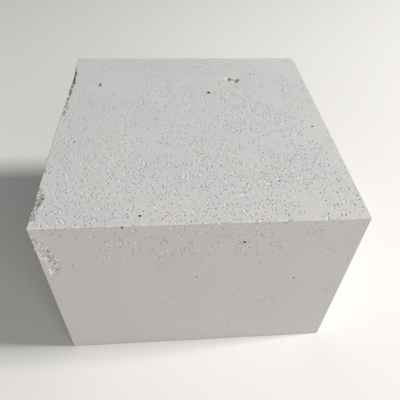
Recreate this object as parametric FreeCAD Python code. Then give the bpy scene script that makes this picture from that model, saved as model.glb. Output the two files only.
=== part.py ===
import FreeCAD, Part

import math
import os

# A refractory firebrick: one block of porous insulating firebrick, fired whole and trimmed square. Its
# arrises are slightly blunted. The upper left arris has crumbled along two stretches with a nick between
# them, the upper corner at the back right is worn, the front face has spalled beside its left arris, and
# the upper face is gouged near the back. Bubbles that the trimming cut through stand open on those two
# faces.
#
# Millimetres. +Z is up and +Y runs from the front face to the back. The origin is the middle of the face
# that the block rests on.

BLOCK_WIDTH = 220.0  # left to right
BLOCK_LENGTH = 230.0  # front to back
BLOCK_HEIGHT = 155.0

ARRIS_RADIUS = 0.5

# Sections of a broken arris: distance along it, reach over the upper face, drop down the left face.
# Those of the rear stretch are measured from the back face and the others from the front face.
FRONT_STRETCH = [
    (5.6, 0.9, 0.8),
    (7.0, 4.1, 0.9),
    (8.8, 5.2, 1.0),
    (12.6, 3.2, 0.9),
    (17.8, 2.7, 1.2),
    (20.4, 5.1, 1.5),
    (23.4, 4.4, 2.4),
    (26.6, 6.6, 2.6),
    (29.4, 5.5, 1.1),
    (34.0, 3.3, 0.9),
    (37.4, 0.9, 0.7),
]
NICK = [
    (53.2, 0.7, 0.6),
    (55.3, 2.5, 0.9),
    (57.2, 0.7, 0.6),
]
REAR_STRETCH = [
    (18.5, 0.8, 0.8),
    (22.0, 1.5, 1.5),
    (26.8, 2.3, 1.9),
    (31.4, 3.3, 3.0),
    (36.2, 3.6, 2.7),
    (42.2, 3.3, 3.2),
    (48.4, 4.1, 2.6),
    (52.0, 4.0, 2.3),
    (61.6, 3.5, 1.1),
    (66.6, 3.1, 4.2),
    (69.0, 2.7, 4.8),
    (73.6, 2.7, 2.2),
    (81.6, 2.9, 1.1),
    (93.0, 4.7, 1.3),
    (96.4, 4.6, 1.2),
    (102.0, 3.2, 1.4),
    (105.8, 0.8, 0.8),
]
# Sections of the worn upper corner at the back right: distance below the upper face, reach over the back
# face, reach over the right face.
CORNER_WEAR = [
    (-1.0, 3.6, 7.6),
    (2.2, 2.8, 4.8),
    (6.4, 0.8, 0.9),
]

# How far in from the arris a broken surface sags, as a share of its reach and drop. A flat break: 0.5. The
# worn corner is rounded out instead.
BREAK_SAG = 0.62
WEAR_SAG = 0.36

# Sections of the spall on the front face: distance below the upper face, then its left and right edges
# from the left face, then its depth. It is a thin flake that runs out over the arris near its top.
FRONT_SPALL = [
    (6.8, 0.8, 3.2, 0.3),
    (10.0, -1.0, 6.2, 0.6),
    (12.6, -1.0, 7.5, 0.7),
    (16.2, -1.0, 5.0, 0.6),
    (19.6, -1.0, 10.1, 0.8),
    (25.6, 0.6, 11.8, 0.9),
    (30.6, 2.4, 12.6, 0.9),
    (34.0, 5.0, 12.9, 0.8),
    (41.4, 4.0, 12.0, 0.8),
    (46.4, 4.2, 9.8, 0.6),
    (49.6, 5.0, 6.2, 0.3),
]

# Sections of the gouge in the upper face: distance from the left face, then its rear and front edges from
# the back face, then its depth.
UPPER_GOUGE = [
    (143.4, 42.6, 44.8, 0.4),
    (146.8, 40.6, 49.0, 2.2),
    (149.6, 43.2, 50.2, 1.5),
    (152.2, 43.8, 52.4, 2.4),
    (154.8, 42.8, 50.8, 2.0),
    (156.8, 45.0, 46.8, 0.4),
]

# How much of a hollow's width slopes down from its first edge and up to its second. The spall has steep
# sides and a level floor. The gouge has a steep rear wall and rises gently to the front.
SPALL_SLOPES = (0.15, 0.15)
GOUGE_SLOPES = (0.1, 0.55)

# Open bubbles: distances across the face from its left edge and on from its upper front edge, radius of
# the mouth, radius of the bubble. A distance below zero counts back from the opposite edge.
UPPER_BUBBLES = [
    (-94.2, -69.0, 1.15, 1.35),
    (27.1, -54.5, 1.0, 1.2),
    (15.9, 89.0, 0.8, 0.95),
    (-12.5, 105.3, 0.95, 1.1),
    (-54.3, 38.5, 0.8, 0.95),
    (68.8, 8.3, 0.8, 0.95),
]
FRONT_BUBBLES = [
    (57.8, 1.7, 0.75, 0.9),
    (-82.4, 20.1, 1.0, 1.3),
    (-68.4, 43.7, 0.65, 0.8),
    (-40.0, 64.1, 0.7, 0.85),
    (-27.4, -34.8, 0.65, 0.8),
]
BUBBLE_SIDES = 12

OVERCUT = 1.0  # how far a cut carries on past the face that it opens

X_AXIS = FreeCAD.Vector(1, 0, 0)
Y_AXIS = FreeCAD.Vector(0, 1, 0)
Z_AXIS = FreeCAD.Vector(0, 0, 1)
LOWER_CORNER = FreeCAD.Vector(-BLOCK_WIDTH / 2, -BLOCK_LENGTH / 2, 0)
FRONT_CORNER = LOWER_CORNER + Z_AXIS * BLOCK_HEIGHT
BACK_CORNER = FRONT_CORNER + Y_AXIS * BLOCK_LENGTH

# The frame that a break is measured in: a corner, the way that its sections follow one another, the way
# in over the first face, and the way over the second face or into the block.
ARRIS_FROM_FRONT = (FRONT_CORNER, Y_AXIS, X_AXIS, -Z_AXIS)
ARRIS_FROM_BACK = (BACK_CORNER, -Y_AXIS, X_AXIS, -Z_AXIS)
CORNER_FROM_TOP = (BACK_CORNER + X_AXIS * BLOCK_WIDTH, -Z_AXIS, -X_AXIS, -Y_AXIS)
SPALL_FROM_TOP = (FRONT_CORNER, -Z_AXIS, X_AXIS, Y_AXIS)
GOUGE_FROM_LEFT = (BACK_CORNER, X_AXIS, -Y_AXIS, -Z_AXIS)

# A face with bubbles: the way and extent across it, the way and extent on over it, the way in.
UPPER_FACE = (X_AXIS, BLOCK_WIDTH, Y_AXIS, BLOCK_LENGTH, -Z_AXIS)
FRONT_FACE = (X_AXIS, BLOCK_WIDTH, -Z_AXIS, BLOCK_HEIGHT, Y_AXIS)


def closed_wire(points):
    """The polygon through those points."""
    return Part.makePolygon(points + points[:1])


def section(frame, distance, outline):
    """One cross-section of a break, its outline given as pairs of distances in and down."""
    corner, onward, inward, downward = frame
    middle = corner + onward * distance
    return closed_wire([middle + inward * along + downward * down for along, down in outline])


def arris_break(frame, sections, sag):
    """The material that is missing from a crumbled or worn arris, lofted through its sections."""
    wires = []
    for distance, reach, drop in sections:
        outline = [
            (reach, -OVERCUT),
            (reach, 0),
            (sag * reach, sag * drop),
            (0, drop),
            (-OVERCUT, drop),
            (-OVERCUT, -OVERCUT),
        ]
        wires.append(section(frame, distance, outline))
    return Part.makeLoft(wires, True, True)


def face_break(frame, sections, slopes):
    """The material that is missing from a spalled or gouged face, lofted through its sections."""
    wires = []
    for distance, first_edge, second_edge, depth in sections:
        width = second_edge - first_edge
        outline = [
            (first_edge, -OVERCUT),
            (first_edge, 0),
            (first_edge + width * slopes[0], depth),
            (second_edge - width * slopes[1], depth),
            (second_edge, 0),
            (second_edge, -OVERCUT),
        ]
        wires.append(section(frame, distance, outline))
    return Part.makeLoft(wires, True, True)


def from_either_end(distance, extent):
    """A place within that extent, where a distance below zero counts back from its far end."""
    return distance if distance >= 0 else extent + distance


def bubble_ring(middle, across, onward, radius):
    """A level ring of the bubble's wall, with its few flats."""
    turns = [2 * math.pi * side / BUBBLE_SIDES for side in range(BUBBLE_SIDES)]
    return closed_wire([middle + (across * math.cos(t) + onward * math.sin(t)) * radius for t in turns])


def open_bubble(face, across_distance, onward_distance, mouth_radius, bubble_radius):
    """A round bubble whose middle lies under the face, so that it widens behind its mouth."""
    across, width, onward, length, inward = face
    mouth = (
        FRONT_CORNER
        + across * from_either_end(across_distance, width)
        + onward * from_either_end(onward_distance, length)
    )
    middle_depth = math.sqrt(bubble_radius**2 - mouth_radius**2)
    floor_radius = bubble_radius / 2
    floor_depth = middle_depth + math.sqrt(bubble_radius**2 - floor_radius**2)
    rings = [
        bubble_ring(mouth - inward * OVERCUT, across, onward, mouth_radius),
        bubble_ring(mouth, across, onward, mouth_radius),
        bubble_ring(mouth + inward * middle_depth, across, onward, bubble_radius),
        bubble_ring(mouth + inward * floor_depth, across, onward, floor_radius),
    ]
    return Part.makeLoft(rings, True, True)


def blunted_block():
    """The whole block with its arrises and corners slightly rounded."""
    block = Part.makeBox(BLOCK_WIDTH, BLOCK_LENGTH, BLOCK_HEIGHT, LOWER_CORNER)
    return block.makeFillet(ARRIS_RADIUS, block.Edges)


def missing_material():
    """Every piece that has broken off the block or burnt out of it."""
    breaks = [
        arris_break(ARRIS_FROM_FRONT, FRONT_STRETCH, BREAK_SAG),
        arris_break(ARRIS_FROM_FRONT, NICK, BREAK_SAG),
        arris_break(ARRIS_FROM_BACK, REAR_STRETCH, BREAK_SAG),
        arris_break(CORNER_FROM_TOP, CORNER_WEAR, WEAR_SAG),
        face_break(SPALL_FROM_TOP, FRONT_SPALL, SPALL_SLOPES),
        face_break(GOUGE_FROM_LEFT, UPPER_GOUGE, GOUGE_SLOPES),
    ]
    bubbles = [open_bubble(UPPER_FACE, *bubble) for bubble in UPPER_BUBBLES]
    bubbles += [open_bubble(FRONT_FACE, *bubble) for bubble in FRONT_BUBBLES]
    return breaks + bubbles


def firebrick():
    return blunted_block().cut(missing_material()).Solids[0]


os.makedirs("parts", exist_ok=True)
firebrick().exportStep("parts/firebrick.step")
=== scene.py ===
import itertools
import math
from collections import defaultdict

import bpy
import numpy as np
from mathutils import Euler, Matrix, Vector, kdtree
from mathutils.geometry import delaunay_2d_cdt


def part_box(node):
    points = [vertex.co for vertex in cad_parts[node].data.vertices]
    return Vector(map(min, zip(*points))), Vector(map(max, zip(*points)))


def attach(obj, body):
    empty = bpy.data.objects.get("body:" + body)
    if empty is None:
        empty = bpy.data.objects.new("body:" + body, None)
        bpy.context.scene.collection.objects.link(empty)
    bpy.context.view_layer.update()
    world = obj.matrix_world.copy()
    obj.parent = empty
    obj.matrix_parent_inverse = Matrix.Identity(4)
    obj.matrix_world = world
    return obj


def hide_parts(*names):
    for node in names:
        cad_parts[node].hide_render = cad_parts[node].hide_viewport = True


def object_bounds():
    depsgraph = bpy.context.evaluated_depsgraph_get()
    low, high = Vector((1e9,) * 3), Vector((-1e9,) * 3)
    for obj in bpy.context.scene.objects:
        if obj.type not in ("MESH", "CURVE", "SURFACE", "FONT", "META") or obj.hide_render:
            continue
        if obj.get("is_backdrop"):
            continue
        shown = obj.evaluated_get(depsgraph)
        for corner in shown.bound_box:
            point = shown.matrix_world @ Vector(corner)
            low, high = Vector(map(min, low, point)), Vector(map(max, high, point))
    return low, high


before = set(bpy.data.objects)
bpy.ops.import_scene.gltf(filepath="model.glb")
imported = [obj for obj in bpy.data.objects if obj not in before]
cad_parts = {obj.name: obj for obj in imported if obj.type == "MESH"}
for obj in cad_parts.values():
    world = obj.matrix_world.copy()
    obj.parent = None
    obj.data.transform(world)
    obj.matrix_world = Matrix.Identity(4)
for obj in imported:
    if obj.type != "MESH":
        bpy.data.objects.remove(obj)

# Dresses the firebrick. Its CAD block gets a fine skin: the breaks and arrises are roughened on an even
# grid, and each flat face is triangulated round the open pores that are sunk into it. A fired clay
# material, the floor, the lamps and the camera follow. Lengths are in metres.

MM = 0.001
CAD_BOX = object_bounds()
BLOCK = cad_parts["firebrick"]
LOW, HIGH = (np.array(corner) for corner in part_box("firebrick"))
FRONT, UPPER = LOW[1], HIGH[2]
ARRIS_RADIUS = 0.5 * MM

GRID = 0.5 * MM
FLATNESS = 0.02 * MM  # how far under its plane a point of a flat face may lie on the grid
SHARP_FROM = math.radians(35)

# Seeds of the random values. Each further layer of a noise takes the next one.
PATCH_SEED, BREAK_SEED, ARRIS_SEED, PORE_SEED = 11, 21, 31, 51

# Lumps of a rough surface: their size, and how far they move it at most
BREAK_LUMPS = ((2.4 * MM, 0.35 * MM), (1.1 * MM, 0.5 * MM))
ARRIS_LUMPS = ((4.0 * MM, 0.25 * MM), (1.6 * MM, 0.6 * MM))
BREAK_STARTS = 0.25 * MM  # depth under the skin of the whole block at which a surface counts as broken
RAGGED_RINGS = 2  # rings of the grid round a break that are roughened with it
NEAR_ARRIS = 2 * MM  # further in than this, what is too shallow to count as broken is levelled

# Patches in which a face is smooth or rough: their size and weight. Where they add up to SMOOTH or less, the
# face has next to no pores, and from ROUGH on it is full of them.
PATCHES = ((34 * MM, 1.0), (13 * MM, 0.7), (5 * MM, 0.4))
SMOOTH, ROUGH = -0.25, 0.75

# Pores of each face, by the axis that it is square to and its side: how many, smallest and largest radius
PORES = {
    (2, "high"): (5200, 0.38 * MM, 0.95 * MM),
    (1, "low"): (360, 0.35 * MM, 0.6 * MM),
    (1, "high"): (600, 0.4 * MM, 0.8 * MM),
    (0, "low"): (600, 0.4 * MM, 0.8 * MM),
    (0, "high"): (600, 0.4 * MM, 0.8 * MM),
    (2, "low"): (300, 0.4 * MM, 0.8 * MM),
}
# Pores that stand out on the two faces in the photograph: place on the face and radius, in millimetres
SEEN_PORES = {
    (2, "high"): (
        (90.9, -2.0, 0.95), (54.0, -76.1, 0.65), (59.8, -76.7, 0.7), (65.8, -69.6, 0.75), (84.8, 48.5, 1.0),
        (107.0, 64.6, 0.75), (-42.4, -104.3, 0.75), (-38.9, -102.5, 0.7), (-48.6, -107.4, 0.65),
        (-31.0, -102.8, 0.7), (-33.6, -94.4, 0.7), (-69.0, -84.3, 0.65), (-91.0, -83.1, 0.65),
        (41.7, 11.1, 0.9), (2.9, -43.6, 0.7),
    ),
    (1, "low"): (
        (-49.9, 51.5, 0.55), (36.3, 129.7, 0.5), (20.5, 42.6, 0.45), (-89.1, 116.6, 0.6),
        (-13.2, 131.1, 0.5), (-3.9, 97.1, 0.85),
        # two bubbles of the CAD block that are too small for the even grid
        (41.6, 111.3, 0.7), (82.6, 34.8, 0.75),
    ),
}
# Painted shade as dark spots in the CAD block's other bubbles: place on the face and radius, in millimetres
SHADED_BUBBLES = {
    (2, "high"): (
        (15.8, 46.0, 1.5), (-82.9, 60.5, 1.2), (97.5, -9.7, 0.95), (-94.1, -26.0, 0.8), (55.7, -76.5, 0.6),
        (-41.2, -106.7, 0.9),
    ),
    (1, "low"): (
        (-52.2, 153.3, 0.7), (27.6, 134.9, 0.95), (70.0, 90.9, 0.5),
    ),
}
SPOT_EDGE = 0.25 * MM  # half of the width over which a dark spot fades out
TRIES_PER_PORE = 8
LEAST_DENSITY = 0.03  # share of a rough patch's pores that a smooth one has
SMALLNESS = 3  # the higher, the more of the pores are small
LARGE_PORE = 0.5 * MM  # a pore with a smaller radius has fewer sides and runs down to a point
LARGE_PORE_SIDES, SMALL_PORE_SIDES = 8, 5
NARROWEST = 0.8  # least width of a pore, in widths of a round one
RAGGEDNESS = 0.15  # how far the corners of a mouth stand in at most, in mouth radii
PORE_DEPTHS = (0.8, 1.5)  # least and greatest, in mouth radii
PORE_FLOOR = 0.4  # radius of a large pore's floor, in mouth radii
PORE_GAP = 0.08 * MM  # least distance between two pores
RIM_GAP = 0.4 * MM  # least distance of a pore from the rims of its face
NEAR_FACE = 6 * MM  # what lies nearer to a face than this belongs to its rims

# Dust and painted shade darken the pores and the breaks near the upper face: depths at which they start and
# are thickest, and how far down the sides they reach. Below that they lie only in the deepest hollows.
DUST_AND_SHADE_DEPTHS = (0.2 * MM, 0.8 * MM)
SHADY_DEPTHS = (0.9 * MM, 1.2 * MM)
DUST_AND_SHADE_REACH = np.array((7, 5)) * MM
# The CAD block's gouge gets a little painted shade right up to its rim: place on the face and radius, in
# millimetres
GOUGE = {(2, "high"): ((40.1, 68.5, 8.5),)}
GOUGE_SHADE = 0.8
# A painted highlight makes the right lip of a break paler: depths between which it fades out, and how far the
# surface faces left where it starts and where it is strongest
LIP_HIGHLIGHT_DEPTHS = (0.6 * MM, 1.0 * MM)
LIP_HIGHLIGHT_FACES_LEFT = (0.1, 0.5)

# Colours of the clay. Where there are two, noise runs from one to the other.
BODY = ((0.58, 0.571, 0.558), (0.645, 0.624, 0.61))
BROKEN = ((0.48, 0.47, 0.455), (0.86, 0.845, 0.82))
# The pale grains' colour, also used for a painted highlight on the left-facing lip of a break
PALE_GRAINS_AND_HIGHLIGHT = (0.93, 0.915, 0.89)
# Painted shade inside the pinholes
PINHOLE_SHADE = (0.3, 0.29, 0.28)
# Dust and painted shade in the breaks, the pores and the deepest hollows
DUST_AND_SHADE = (0.34, 0.33, 0.305)
# Painted shade, near black, in open bubbles and pores
PAINTED_HOLE_SHADE = (0.06, 0.058, 0.055)

# Fine marks of the material: the cells that they are spread over, their largest radius, and how far the cells
# of the grains are moved so that they are out of step with those of the pinholes
MARK_CELL = 1.9 * MM
PINHOLE_RADIUS = 0.65 * MM
GRAIN_RADIUS = 0.7 * MM
GRAIN_SHIFT = 1.1 * MM

# Camera, solved from the block's arrises in the photograph
CAMERA_PLACE = (-0.02047, -0.28849, 0.34495)
CAMERA_PITCH_DOWN = math.radians(45.44)
CAMERA_TURN_RIGHT = math.radians(6.40)
CAMERA_ROLL = math.radians(2.90)
CAMERA_LENS = 36.694
CAMERA_SENSOR = 36.0
CAMERA_SHIFT = (-0.01025, 0.02337)

# Lamps: place, size and power
KEY_LAMP = ((2.06, -0.12, 1.88), 0.5, 72)
FRONT_LAMP = ((0.70, -1.66, 0.94), 1.2, 12)
SURROUND_STRENGTH = 0.2


def lattice_noise(points, size, seed):
    """Smooth random values from -1 to 1 at the points, with a knot at each corner of cubes of that size."""
    knots = np.random.default_rng(seed).uniform(-1, 1, 2**16)
    cube = np.floor(points / size).astype(np.int64)
    part = points / size - cube
    part = part * part * (3 - 2 * part)
    total = np.zeros(len(points))
    for corner in itertools.product((0, 1), repeat=3):
        knot = (cube + corner) @ np.array((73856093, 19349663, 83492791))
        total += np.prod(np.where(corner, part, 1 - part), axis=1) * knots[knot % len(knots)]
    return total


def ramp(values, start, end):
    """0 up to start, 1 from end on, and smooth between them."""
    part = np.clip((values - start) / (end - start), 0, 1)
    return part * part * (3 - 2 * part)


def layered_noise(points, sizes_and_heights, seed):
    """Random values at the points, added up from noise of each size and height."""
    return sum(
        height * lattice_noise(points, size, seed + n) for n, (size, height) in enumerate(sizes_and_heights)
    )


def depth_under_skin(points):
    """How deep the points lie under the skin of the whole block, with its blunted arrises."""
    past_core = np.abs(points - (LOW + HIGH) / 2) - ((HIGH - LOW) / 2 - ARRIS_RADIUS)
    past_arris = np.linalg.norm(np.maximum(past_core, 0), axis=1)
    return ARRIS_RADIUS - past_arris - np.minimum(past_core.max(axis=1), 0)


def changed_mesh(mesh, modifier_type, **settings):
    """A copy of the mesh with one modifier applied."""
    carrier = bpy.data.objects.new("carrier", mesh)
    bpy.context.collection.objects.link(carrier)
    modifier = carrier.modifiers.new("change", modifier_type)
    for name, value in settings.items():
        setattr(modifier, name, value)
    changed = bpy.data.meshes.new_from_object(carrier.evaluated_get(bpy.context.evaluated_depsgraph_get()))
    bpy.data.objects.remove(carrier)
    return changed


def vertex_values(mesh, attribute):
    """An attribute of three numbers of every vertex, as an array."""
    values = np.empty(3 * len(mesh.vertices))
    mesh.vertices.foreach_get(attribute, values)
    return values.reshape(-1, 3)


def rough_skin():
    """The skin on an even grid with rough breaks and arrises: points, quads, and the flat face that each
    point lies on, or -1. Faces 0 to 2 are the low ones and 3 to 5 the high ones."""
    spacing = GRID
    mesh = changed_mesh(BLOCK.data.copy(), "REMESH", mode="VOXEL", voxel_size=spacing)
    points = vertex_values(mesh, "co")
    quads = np.empty(len(mesh.loops), dtype=np.int32)
    mesh.loops.foreach_get("vertex_index", quads)
    quads = quads.reshape(-1, 4)

    broken = (depth_under_skin(points) > BREAK_STARTS).astype(float)
    for _ in range(RAGGED_RINGS):
        spread = broken[quads].max(axis=1)
        for corner in quads.T:
            np.maximum.at(broken, corner, spread)

    margins = np.concatenate([points - LOW, HIGH - points], axis=1)
    off_arris = np.sort(margins, axis=1)[:, 1] > NEAR_ARRIS
    level = margins.min(axis=1) < np.where(off_arris, BREAK_STARTS, FLATNESS)
    face = np.where(level & (broken == 0), margins.argmin(axis=1), -1)
    arris_shift = np.maximum(layered_noise(points, ARRIS_LUMPS, ARRIS_SEED), 0)
    break_shift = layered_noise(points, BREAK_LUMPS, BREAK_SEED)
    shift = np.where(broken > 0, break_shift, arris_shift) * (face < 0)
    points = np.clip(points - vertex_values(mesh, "normal") * shift[:, None], LOW, HIGH)
    for number, (axis, place) in enumerate([*enumerate(LOW), *enumerate(HIGH)]):
        points[face == number, axis] = place
    return points, quads, face


def rim_edges(quads):
    """The edges that only one of the quads has."""
    edges = np.sort(np.concatenate([quads[:, (n, (n + 1) % 4)] for n in range(4)]), axis=1)
    edges, counts = np.unique(edges, axis=0, return_counts=True)
    return edges[counts == 1]


def roughness(points):
    """From 0 where a trimmed face is smooth to 1 where it is full of pores, in patches. The upper face is
    rougher than the others, most of all in its front left part, and the front face in its upper right."""
    patches = layered_noise(points, PATCHES, PATCH_SEED)
    rightward, backward, upward = ((points - (LOW + HIGH) / 2) / (HIGH - LOW)).T
    on_upper = points[:, 2] > UPPER - MM
    on_front = (points[:, 1] < FRONT + MM) & ~on_upper
    patches += on_upper * (0.45 - 0.8 * backward - 0.35 * rightward + 1.2 * backward * rightward)
    patches += on_front * (1.1 * rightward + 0.9 * upward - 0.35)
    return ramp(patches, SMOOTH, ROUGH)


def plane_axes(axis):
    """The two other axes, in the order in which triangles that run anticlockwise face along the axis."""
    return [(axis + 1) % 3, (axis + 2) % 3]


def near_marks(points, marks):
    """1 within the radius of any of the marks on the faces and 0 away from them all."""
    nearness = np.zeros(len(points))
    for (axis, side), places in marks.items():
        across = [other for other in range(3) if other != axis]
        near = np.flatnonzero(np.abs(points[:, axis] - (LOW if side == "low" else HIGH)[axis]) < NEAR_FACE)
        for *place, radius in np.multiply(places, MM):
            distances = np.linalg.norm(points[near][:, across] - place, axis=1)
            inside = ramp(radius - distances, -SPOT_EDGE, SPOT_EDGE)
            nearness[near] = np.maximum(nearness[near], inside)
    return nearness


class Spacing:
    """Keeps the pores of a face clear of each other and of its rims."""

    CELL = 2 * MM

    def __init__(self, rims):
        self.rims = kdtree.KDTree(len(rims))
        for number, (across, along) in enumerate(rims):
            self.rims.insert((across, along, 0), number)
        self.rims.balance()
        self.cells = defaultdict(list)

    def cell(self, place):
        return int(place[0] // self.CELL), int(place[1] // self.CELL)

    def has_room(self, place, radius):
        if self.rims.find((*place, 0))[2] < radius + RIM_GAP:
            return False
        across, along = self.cell(place)
        return all(
            math.dist(place, other) > radius + other_radius + PORE_GAP
            for cell in itertools.product(range(across - 1, across + 2), range(along - 1, along + 2))
            for other, other_radius in self.cells[cell]
        )

    def take(self, place, radius):
        self.cells[self.cell(place)].append((place, radius))


def pores_of_face(number, rims, generator):
    """The places and radii of a flat face's pores, denser where it is rough."""
    axis, side = number % 3, ("low", "high")[number // 3]
    count, smallest, largest = PORES[axis, side]
    seen = SEEN_PORES.get((axis, side), ())
    places = generator.uniform(LOW, HIGH, (TRIES_PER_PORE * count, 3))
    places[:, axis] = (LOW, HIGH)[number // 3][axis]
    kept = generator.random(len(places)) < LEAST_DENSITY + (1 - LEAST_DENSITY) * roughness(places)
    radii = smallest + (largest - smallest) * generator.random(kept.sum()) ** SMALLNESS
    scattered = zip(map(tuple, places[kept][:, plane_axes(axis)]), radii)
    stand_out = [((a, b) if axis == 2 else (b, a), radius) for a, b, radius in np.multiply(seen, MM)]

    spacing = Spacing(rims)
    for place, radius in itertools.chain(stand_out, scattered):
        if count and spacing.has_room(place, radius):
            spacing.take(place, radius)
            count -= 1
            yield place, radius


def pore_rings(radius, generator):
    """The uneven mouth and the smaller floor of a pore, as offsets from its middle, and its depth."""
    sides = LARGE_PORE_SIDES if radius > LARGE_PORE else SMALL_PORE_SIDES
    turns = (np.arange(sides) + generator.random()) * 2 * math.pi / sides
    stretch = generator.uniform(NARROWEST, 1, 2)
    mouth = np.stack([np.cos(turns), np.sin(turns)], axis=1) * radius * stretch
    mouth *= generator.uniform(1 - RAGGEDNESS, 1, (sides, 1))
    floor = mouth[::2] * PORE_FLOOR if radius > LARGE_PORE else mouth.mean(axis=0, keepdims=True)
    return mouth, floor, radius * generator.uniform(*PORE_DEPTHS)


def inner_triangles(triangles, walls, inside):
    """The triangles that can be reached from that one without crossing a wall."""
    owners = defaultdict(list)
    for number, corners in enumerate(triangles):
        for pair in zip(corners, (*corners[1:], corners[0])):
            edge = (min(pair), max(pair))
            if edge not in walls:
                owners[edge].append(number)
    neighbours = defaultdict(list)
    for numbers in owners.values():
        if len(numbers) == 2:
            neighbours[numbers[0]].append(numbers[1])
            neighbours[numbers[1]].append(numbers[0])
    reached, waiting = {inside}, [inside]
    while waiting:
        for number in neighbours[waiting.pop()]:
            if number not in reached:
                reached.add(number)
                waiting.append(number)
    return [triangles[number] for number in sorted(reached)]


def pored_face(number, points, edges, rims, first_new, generator):
    """The new points and the triangles of a flat face between its rims, with its pores sunk in."""
    axis, high = number % 3, number >= 3
    plane = plane_axes(axis)
    known = np.unique(edges)
    index = {vertex: n for n, vertex in enumerate(known)}
    flat_points = [points[known][:, plane]]
    new_points = []
    constraints = [(index[a], index[b]) for a, b in edges.tolist()]
    walls = {tuple(sorted(edge)) for edge in constraints}
    total = len(known)

    for place, radius in pores_of_face(number, rims, generator):
        mouth, floor, depth = pore_rings(radius, generator)
        constraints += [(total + n, total + (n + 1) % len(mouth)) for n in range(len(mouth))]
        flat_points.append(np.concatenate([mouth, floor]) + place)
        sunk = np.zeros((len(mouth) + len(floor), 3))
        sunk[:, plane] = flat_points[-1]
        sunk[:, axis] = HIGH[axis] if high else LOW[axis]
        sunk[len(mouth):, axis] += -depth if high else depth
        new_points.append(sunk)
        total += len(sunk)
    corners = [Vector(corner) for corner in np.concatenate(flat_points) / MM]
    _, _, triangles, sources, _, _ = delaunay_2d_cdt(corners, constraints, [], 0, 1e-6, True)
    triangles = [tuple(sources[corner][0] for corner in triangle) for triangle in triangles]
    inside = next(n for n, triangle in enumerate(triangles) if max(triangle) >= len(known))
    numbers = np.concatenate([known, first_new + np.arange(total - len(known))])
    triangles = numbers[np.array(inner_triangles(triangles, walls, inside))]
    return np.concatenate(new_points), triangles if high else triangles[:, ::-1]


def weathered_mesh():
    """The whole weathered skin, closed: rough quads, and flat faces with open pores."""
    points, quads, face = rough_skin()
    quad_faces = face[quads]
    flat = (quad_faces[:, 0] >= 0) & (quad_faces == quad_faces[:, :1]).all(axis=1)
    used, quads = np.unique(quads[~flat], return_inverse=True)
    quads = quads.reshape(-1, 4)
    rough_points, face = points[used], face[used]

    edges = rim_edges(quads)
    generator = np.random.default_rng(PORE_SEED)
    points, polygons = rough_points, quads.tolist()
    for number in range(6):
        axis = number % 3
        near = np.abs(rough_points[:, axis] - (LOW, HIGH)[number // 3][axis]) < NEAR_FACE
        rims = rough_points[near][:, plane_axes(axis)]
        own_edges = edges[(face[edges] == number).all(axis=1)]
        pores, triangles = pored_face(number, points, own_edges, rims, len(points), generator)
        points = np.concatenate([points, pores])
        polygons += triangles.tolist()

    mesh = bpy.data.meshes.new("fired_block")
    mesh.from_pydata(points.tolist(), [], polygons)
    mark_wear_and_painted_light(mesh, points, len(rough_points))
    mesh.polygons.foreach_set("use_smooth", [True] * len(polygons))
    mesh.set_sharp_from_angle(angle=SHARP_FROM)
    return changed_mesh(mesh, "WEIGHTED_NORMAL", keep_sharp=True)


def mark_wear_and_painted_light(mesh, points, first_pore_point):
    """Tells the material, from 0 to 1, how much dust and painted shade, painted hole shade, tearing, painted
    lip highlight and roughness each of the mesh's points has.
    Those from that number on are the pores'."""
    depths = depth_under_skin(points)
    leftward = -vertex_values(mesh, "normal")[:, 0]
    torn = ramp(depths, 0, BREAK_STARTS)
    # Dust and painted shade, deeper in the breaks near the upper face and in the deepest hollows anywhere
    dust_and_shade = ramp(depths, *DUST_AND_SHADE_DEPTHS) * ramp(points[:, 2], *(UPPER - DUST_AND_SHADE_REACH))
    dust_and_shade = np.maximum(dust_and_shade, ramp(depths, *SHADY_DEPTHS))
    # Painted shade in the gouge, right up to its rim
    dust_and_shade = np.maximum(dust_and_shade, near_marks(points, GOUGE) * torn * GOUGE_SHADE)
    # Painted shade in the listed bubbles and on the torn walls of the seen pores
    hole_shade = np.maximum(near_marks(points, SHADED_BUBBLES), near_marks(points, SEEN_PORES) * torn)
    # Painted shade on the pores' floors, with none at their mouths
    dust_and_shade[first_pore_point:] = torn[first_pore_point:]
    torn[first_pore_point:] = 0
    # Painted highlight: near the rim, where a break faces left, it is paler
    lip_highlight = torn * (1 - ramp(depths, *LIP_HIGHLIGHT_DEPTHS)) * ramp(leftward, *LIP_HIGHLIGHT_FACES_LEFT)
    rough = np.maximum(roughness(points), torn)
    for name, values in (("dust_and_shade", dust_and_shade), ("hole_shade", hole_shade), ("torn", torn), ("lip_highlight", lip_highlight), ("rough", rough)):
        mesh.attributes.new(name, "FLOAT", "POINT").data.foreach_set("value", values)


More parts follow.
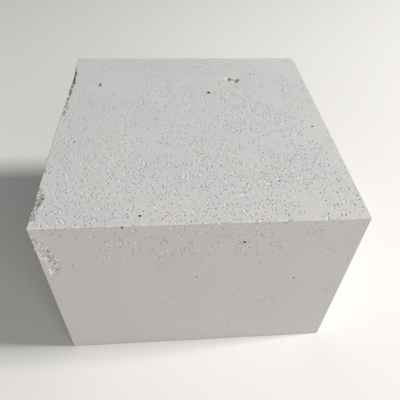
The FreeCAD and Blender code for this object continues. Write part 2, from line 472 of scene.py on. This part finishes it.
class Clay:
    """The fired clay's node tree, with a method for each kind of node that it repeats."""

    def __init__(self, name):
        self.material = bpy.data.materials.new(name)
        self.material.use_nodes = True
        self.nodes = self.material.node_tree.nodes
        self.links = self.material.node_tree.links
        self.shader = self.nodes["Principled BSDF"]
        self.place = self.nodes.new("ShaderNodeTexCoord").outputs["Object"]

    def noise(self, size, detail=2.0):
        node = self.nodes.new("ShaderNodeTexNoise")
        node.inputs["Scale"].default_value = 1 / size
        node.inputs["Detail"].default_value = detail
        self.links.new(self.place, node.inputs["Vector"])
        return node.outputs["Fac"]

    def mapped(self, value, from_low, from_high, to_low, to_high):
        node = self.nodes.new("ShaderNodeMapRange")
        node.interpolation_type = "SMOOTHSTEP"
        node.inputs["From Min"].default_value = from_low
        node.inputs["From Max"].default_value = from_high
        node.inputs["To Min"].default_value = to_low
        node.inputs["To Max"].default_value = to_high
        self.links.new(value, node.inputs["Value"])
        return node.outputs["Result"]

    def maths(self, operation, *values):
        node = self.nodes.new("ShaderNodeMath")
        node.operation = operation
        for socket, value in zip(node.inputs, values):
            if isinstance(value, float):
                socket.default_value = value
            else:
                self.links.new(value, socket)
        return node.outputs["Value"]

    def upwardness(self):
        """1 where the surface faces up and 0 where it is upright."""
        geometry = self.nodes.new("ShaderNodeNewGeometry")
        parts = self.nodes.new("ShaderNodeSeparateXYZ")
        self.links.new(geometry.outputs["Normal"], parts.inputs["Vector"])
        return parts.outputs["Z"]

    def attribute(self, name):
        node = self.nodes.new("ShaderNodeAttribute")
        node.attribute_name = name
        return node.outputs["Fac"]

    def spots(self, cell, radius, share, chance, shift):
        """1 inside a spot and 0 around it. A share of the cells has one, of up to that radius. Sets of spots
        with different chances lie in different cells, and the shift moves a set along the X axis."""
        warp = self.nodes.new("ShaderNodeTexNoise")
        warp.inputs["Scale"].default_value = 1 / radius
        self.links.new(self.place, warp.inputs["Vector"])
        warped = self.nodes.new("ShaderNodeVectorMath")
        warped.operation = "MULTIPLY_ADD"
        warped.inputs[1].default_value = (radius, radius, radius)
        self.links.new(warp.outputs["Color"], warped.inputs[0])
        self.links.new(self.place, warped.inputs[2])
        moved = self.nodes.new("ShaderNodeVectorMath")
        moved.inputs[1].default_value = (shift, 0, 0)
        self.links.new(warped.outputs["Vector"], moved.inputs[0])
        cells = self.nodes.new("ShaderNodeTexVoronoi")
        cells.inputs["Scale"].default_value = 1 / cell
        self.links.new(moved.outputs["Vector"], cells.inputs["Vector"])
        chances = self.nodes.new("ShaderNodeSeparateColor")
        self.links.new(cells.outputs["Color"], chances.inputs["Color"])
        present = self.mapped(self.maths("SUBTRACT", share, chances.outputs[chance]), 0.0, 0.1, 0.0, 1.0)
        size = self.mapped(chances.outputs["Green"], 0.0, 1.0, 0.5 * radius / cell, radius / cell)
        inside = self.maths("SUBTRACT", size, cells.outputs["Distance"])
        return self.maths("MULTIPLY", present, self.mapped(inside, 0.0, 0.3 * radius / cell, 0.0, 1.0))

    def mix(self, factor, first, second):
        node = self.nodes.new("ShaderNodeMix")
        node.data_type = "RGBA"
        self.links.new(factor, node.inputs["Factor"])
        for name, value in (("A", first), ("B", second)):
            if isinstance(value, tuple):
                node.inputs[name].default_value = (*value, 1)
            else:
                self.links.new(value, node.inputs[name])
        return node.outputs["Result"]


def fired_clay():
    """Pale grey fired clay. Its rough patches have pinholes darkened with painted shade, and pale torn
    grains. Its breaks are paler at the left-facing lip, a painted highlight, and darker further down with
    dust and painted shade, and its open bubbles are painted near black as painted shade."""
    clay = Clay("fired_clay_grain")
    clay.shader.inputs["Roughness"].default_value = 0.93
    clay.shader.inputs["Specular IOR Level"].default_value = 0.25

    # The upper face has more pale grains for its pinholes than the upright ones
    clusters = clay.mapped(clay.noise(6 * MM), 0.38, 0.6, 0.15, 1.0)
    share = clay.maths("MULTIPLY", clay.attribute("rough"), clusters)
    holes = clay.spots(MARK_CELL, PINHOLE_RADIUS, share, "Red", 0)
    grain_share = clay.maths("MULTIPLY", share, clay.mapped(clay.upwardness(), 0.2, 0.8, 0.45, 1.0))
    grains = clay.spots(MARK_CELL, GRAIN_RADIUS, grain_share, "Blue", GRAIN_SHIFT)

    mottle = clay.mapped(clay.noise(1.6 * MM), 0.3, 0.7, -0.4, 0.4)
    body = clay.mix(clay.maths("ADD", clay.noise(40 * MM, 4.0), mottle), *BODY)
    grained = clay.mix(grains, body, PALE_GRAINS_AND_HIGHLIGHT)
    # Painted shade darkens the pinholes
    trimmed = clay.mix(clay.mapped(holes, 0.2, 1.0, 0.0, 0.65), grained, PINHOLE_SHADE)

    grit = clay.noise(1.2 * MM)
    broken = clay.mix(clay.mapped(grit, 0.42, 0.58, 0.0, 1.0), *BROKEN)
    # Painted highlight on the left-facing lip of a break, broken up by the grit
    lip_highlight = clay.maths("MULTIPLY", clay.attribute("lip_highlight"), clay.mapped(grit, 0.3, 0.5, 0.5, 1.0))
    # Dust and painted shade, broken up by the grit
    dust_and_shade = clay.maths("MULTIPLY", clay.attribute("dust_and_shade"), clay.mapped(grit, 0.42, 0.58, 1.0, 0.3))
    # Painted shade, near black, in the open bubbles
    hole_shade = clay.mapped(clay.attribute("hole_shade"), 0.0, 0.5, 0.0, 1.0)

    bare = clay.mix(clay.attribute("torn"), trimmed, broken)
    dusty_and_shaded = clay.mix(dust_and_shade, clay.mix(lip_highlight, bare, PALE_GRAINS_AND_HIGHLIGHT), DUST_AND_SHADE)
    clay.links.new(clay.mix(hole_shade, dusty_and_shaded, PAINTED_HOLE_SHADE), clay.shader.inputs["Base Color"])

    bump = clay.nodes.new("ShaderNodeBump")
    bump.inputs["Strength"].default_value = 1.0
    bump.inputs["Distance"].default_value = 0.4 * MM
    fine = clay.maths("MULTIPLY", clay.noise(0.5 * MM), 0.15)
    clay.links.new(clay.maths("SUBTRACT", fine, holes), bump.inputs["Height"])
    clay.links.new(bump.outputs["Normal"], clay.shader.inputs["Normal"])
    return clay.material


def make_brick():
    """The dressed block, which stands for the CAD node."""
    mesh = weathered_mesh()
    mesh.materials.clear()
    mesh.materials.append(fired_clay())
    brick = bpy.data.objects.new("fired_block", mesh)
    bpy.context.collection.objects.link(brick)
    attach(brick, "root")
    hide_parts("firebrick")


def make_floor():
    """A plain pale floor that runs out past every view."""
    bpy.ops.mesh.primitive_plane_add(size=8)
    floor = bpy.context.object
    floor.name = "floor"
    material = bpy.data.materials.new("pale_floor")
    material.use_nodes = True
    shader = material.node_tree.nodes["Principled BSDF"]
    shader.inputs["Base Color"].default_value = (0.83, 0.81, 0.78, 1)
    shader.inputs["Roughness"].default_value = 0.9
    floor.data.materials.append(material)
    floor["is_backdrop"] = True


def make_light():
    """A soft key lamp from the right, a weaker one from the front and an even pale surround."""
    world = bpy.data.worlds.new("pale_surround")
    world.use_nodes = True
    surround = world.node_tree.nodes["Background"]
    surround.inputs["Color"].default_value = (1, 1, 1, 1)
    surround.inputs["Strength"].default_value = SURROUND_STRENGTH
    bpy.context.scene.world = world

    for name, (place, size, power) in (("key", KEY_LAMP), ("front", FRONT_LAMP)):
        lamp = bpy.data.lights.new(name, "AREA")
        lamp.size = size
        lamp.energy = power
        holder = bpy.data.objects.new(name, lamp)
        holder.location = place
        middle = Vector((LOW + HIGH) / 2)
        holder.rotation_euler = (middle - holder.location).to_track_quat("-Z", "Y").to_euler()
        bpy.context.collection.objects.link(holder)


def make_camera():
    """The camera at the photograph's viewing angle."""
    camera = bpy.data.cameras.new("camera")
    camera.lens = CAMERA_LENS
    camera.sensor_width = CAMERA_SENSOR
    camera.shift_x, camera.shift_y = CAMERA_SHIFT
    camera.clip_start = 10 * MM
    holder = bpy.data.objects.new("camera", camera)
    aim = Euler((math.pi / 2 - CAMERA_PITCH_DOWN, 0, -CAMERA_TURN_RIGHT)).to_matrix().to_4x4()
    holder.matrix_world = Matrix.Translation(CAMERA_PLACE) @ aim @ Matrix.Rotation(CAMERA_ROLL, 4, "Z")
    bpy.context.collection.objects.link(holder)
    bpy.context.scene.camera = holder


def write_sizes():
    """Works out the CAD box and the dressed model's box as plain lists of numbers."""
    boxes = {"cad": CAD_BOX, "visual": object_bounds()}
    plain = {name: [[float(value) for value in corner] for corner in box] for name, box in boxes.items()}


make_camera()
make_floor()
make_light()
make_brick()
bpy.context.scene.view_settings.view_transform = "Standard"
write_sizes()
